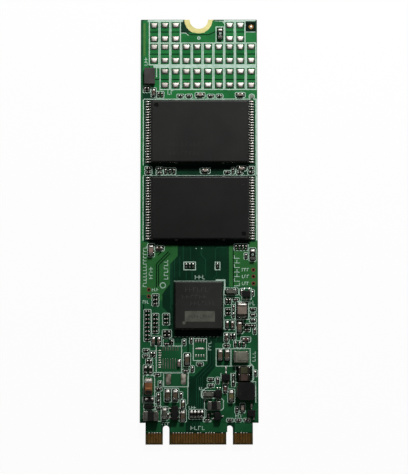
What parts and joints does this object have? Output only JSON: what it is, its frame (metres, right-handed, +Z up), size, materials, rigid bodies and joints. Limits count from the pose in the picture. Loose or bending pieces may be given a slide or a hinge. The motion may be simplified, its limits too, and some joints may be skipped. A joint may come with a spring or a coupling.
{
  "type": "solid state drive card",
  "caption": "Slim bare circuit card that stores data: flash packages and a controller on a green board, with an edge connector at one end and a half-round screw notch at the other.",
  "frame": {"origin": "centre of the card's underside, on the surface that the card lies on", "axes": "+Y along the card from the edge connector to the screw notch, +X across it, +Z up out of the populated side"},
  "size_m": [0.022, 0.08, 0.0022],
  "materials": {
    "board": "green solder mask over glass epoxy",
    "gold": "gold plating",
    "moulding": "black moulding compound",
    "tin": "tin plating and solder",
    "lead_tin": "matt tin plating",
    "resistor": "black glass coat",
    "capacitor": "brown ceramic",
    "ferrite_black": "black pressed ferrite",
    "ferrite_grey": "grey pressed metal powder",
    "tantalum": "orange moulding compound",
    "switch": "dark grey moulding compound"
  },
  "bodies": {
    "root": {"bottom_contacts": "gold", "buck_inductor": "ferrite_black", "buck_inductor_terminals": "tin", "bulk_capacitor": "capacitor", "bulk_capacitor_terminals": "tin", "circuit_board": "board", "controller_package": "moulding", "converter_body": "moulding", "converter_leads": "lead_tin", "diode_body": "moulding", "diode_leads": "lead_tin", "filter_inductor": "ferrite_grey", "filter_inductor_terminals": "tin", "input_inductor": "ferrite_grey", "input_inductor_terminals": "tin", "large_capacitor_terminals": "tin", "large_capacitors": "capacitor", "level_shifter_body": "moulding", "level_shifter_leads": "lead_tin", "load_switch": "switch", "load_switch_pads": "tin", "lower_flash_leads": "lead_tin", "lower_flash_package": "moulding", "medium_capacitor_terminals": "tin", "medium_capacitors": "capacitor", "medium_resistor_terminals": "tin", "medium_resistors": "resistor", "mounting_ring": "gold", "output_inductor": "ferrite_grey", "output_inductor_terminals": "tin", "resistor_network": "resistor", "resistor_network_terminals": "tin", "small_capacitor_terminals": "tin", "small_capacitors": "capacitor", "small_resistor_terminals": "tin", "small_resistors": "resistor", "spare_capacitor_lands": "tin", "spare_crystal_lands": "tin", "tantalum_capacitor": "tantalum", "tantalum_terminals": "tin", "tiny_capacitor_terminals": "tin", "tiny_capacitors": "capacitor", "tiny_resistor_terminals": "tin", "tiny_resistors": "resistor", "top_contacts": "gold", "transistor_bodies": "moulding", "transistor_leads": "lead_tin", "upper_flash_leads": "lead_tin", "upper_flash_package": "moulding"}
  },
  "joints": []
}
